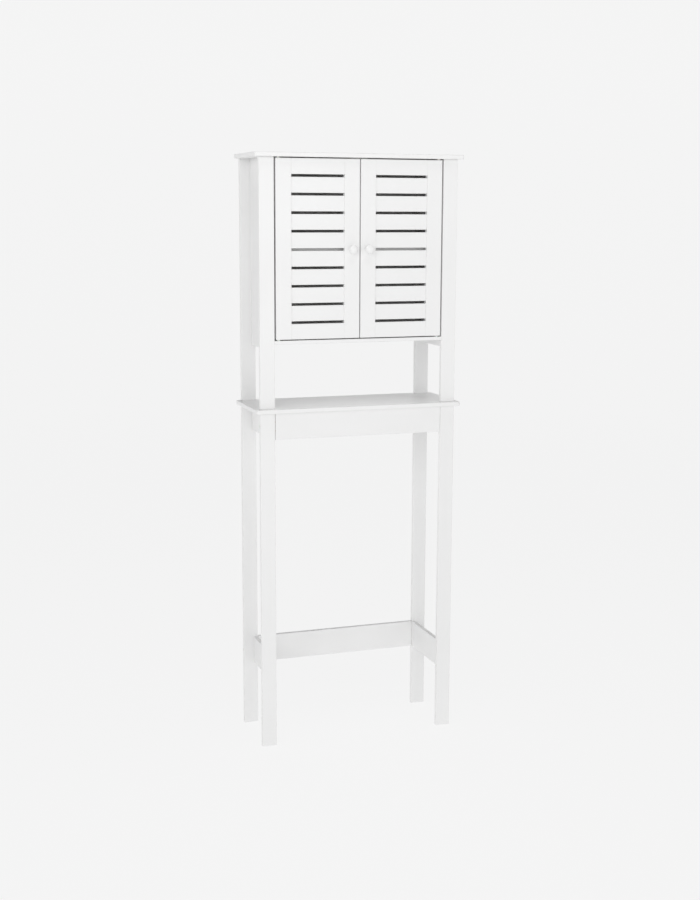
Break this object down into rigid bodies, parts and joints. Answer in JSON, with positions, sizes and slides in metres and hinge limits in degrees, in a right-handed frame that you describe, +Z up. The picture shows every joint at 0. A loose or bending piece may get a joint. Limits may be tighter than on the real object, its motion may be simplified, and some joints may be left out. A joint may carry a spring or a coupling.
{
  "type": "over-the-toilet storage rack",
  "caption": "Tall white rack that stands over a toilet, with an open lower frame, a middle shelf and a cabinet behind slatted double doors.",
  "frame": {"origin": "on the floor, under the middle of the whole outline, knobs included", "axes": "+X to the right as seen from the front, +Y to the wall, +Z up; the doors open toward -Y"},
  "size_m": [0.616, 0.241, 1.7],
  "materials": {
    "painted_board": "smooth satin white paint on fibreboard",
    "back_board": "thin white hardboard",
    "painted_knob": "turned wood in satin white paint",
    "zinc_steel": "bright zinc plate",
    "white_nylon": "moulded white nylon",
    "ferrite": "dark sintered magnet",
    "beech": "fluted beech dowel"
  },
  "bodies": {
    "carcass": {"top_panel": "painted_board", "middle_shelf": "painted_board", "upper_leg_front_left": "painted_board", "upper_leg_front_right": "painted_board", "upper_leg_back_left": "painted_board", "upper_leg_back_right": "painted_board", "lower_leg_front_left": "painted_board", "lower_leg_front_right": "painted_board", "lower_leg_back_left": "painted_board", "lower_leg_back_right": "painted_board", "cabinet_side_left": "painted_board", "cabinet_side_right": "painted_board", "cabinet_floor": "painted_board", "back_panel": "back_board", "inner_shelf": "painted_board", "front_apron": "painted_board", "side_apron_left": "painted_board", "side_apron_right": "painted_board", "back_rail": "painted_board", "side_rail_left": "painted_board", "side_rail_right": "painted_board", "catch_housing": "white_nylon", "catch_magnets": "ferrite", "shelf_pins": "zinc_steel", "pivot_bushes": "white_nylon", "leg_pins": "zinc_steel", "wood_dowels": "beech", "frame_screws": "zinc_steel"},
    "left_door": {"left_hinge_stile": "painted_board", "left_meeting_stile": "painted_board", "left_top_rail": "painted_board", "left_bottom_rail": "painted_board", "left_knob": "painted_knob", "left_knob_screw": "zinc_steel", "left_pivot_pins": "zinc_steel", "left_strike": "zinc_steel", "left_slat_1": "painted_board", "left_slat_2": "painted_board", "left_slat_3": "painted_board", "left_slat_4": "painted_board", "left_slat_5": "painted_board", "left_slat_6": "painted_board", "left_slat_7": "painted_board", "left_slat_8": "painted_board"},
    "right_door": {"right_hinge_stile": "painted_board", "right_meeting_stile": "painted_board", "right_top_rail": "painted_board", "right_bottom_rail": "painted_board", "right_knob": "painted_knob", "right_knob_screw": "zinc_steel", "right_pivot_pins": "zinc_steel", "right_strike": "zinc_steel", "right_slat_1": "painted_board", "right_slat_2": "painted_board", "right_slat_3": "painted_board", "right_slat_4": "painted_board", "right_slat_5": "painted_board", "right_slat_6": "painted_board", "right_slat_7": "painted_board", "right_slat_8": "painted_board"}
  },
  "joints": [
    {"name": "left_door_hinge", "type": "hinge", "parent": "carcass", "child": "left_door", "pos_m": [-0.2375, -0.09, 1.436], "axis": [0, 0, -1], "range_deg": [0, 118]},
    {"name": "right_door_hinge", "type": "hinge", "parent": "carcass", "child": "right_door", "pos_m": [0.2375, -0.09, 1.436], "axis": [0, 0, 1], "range_deg": [0, 118]}
  ]
}
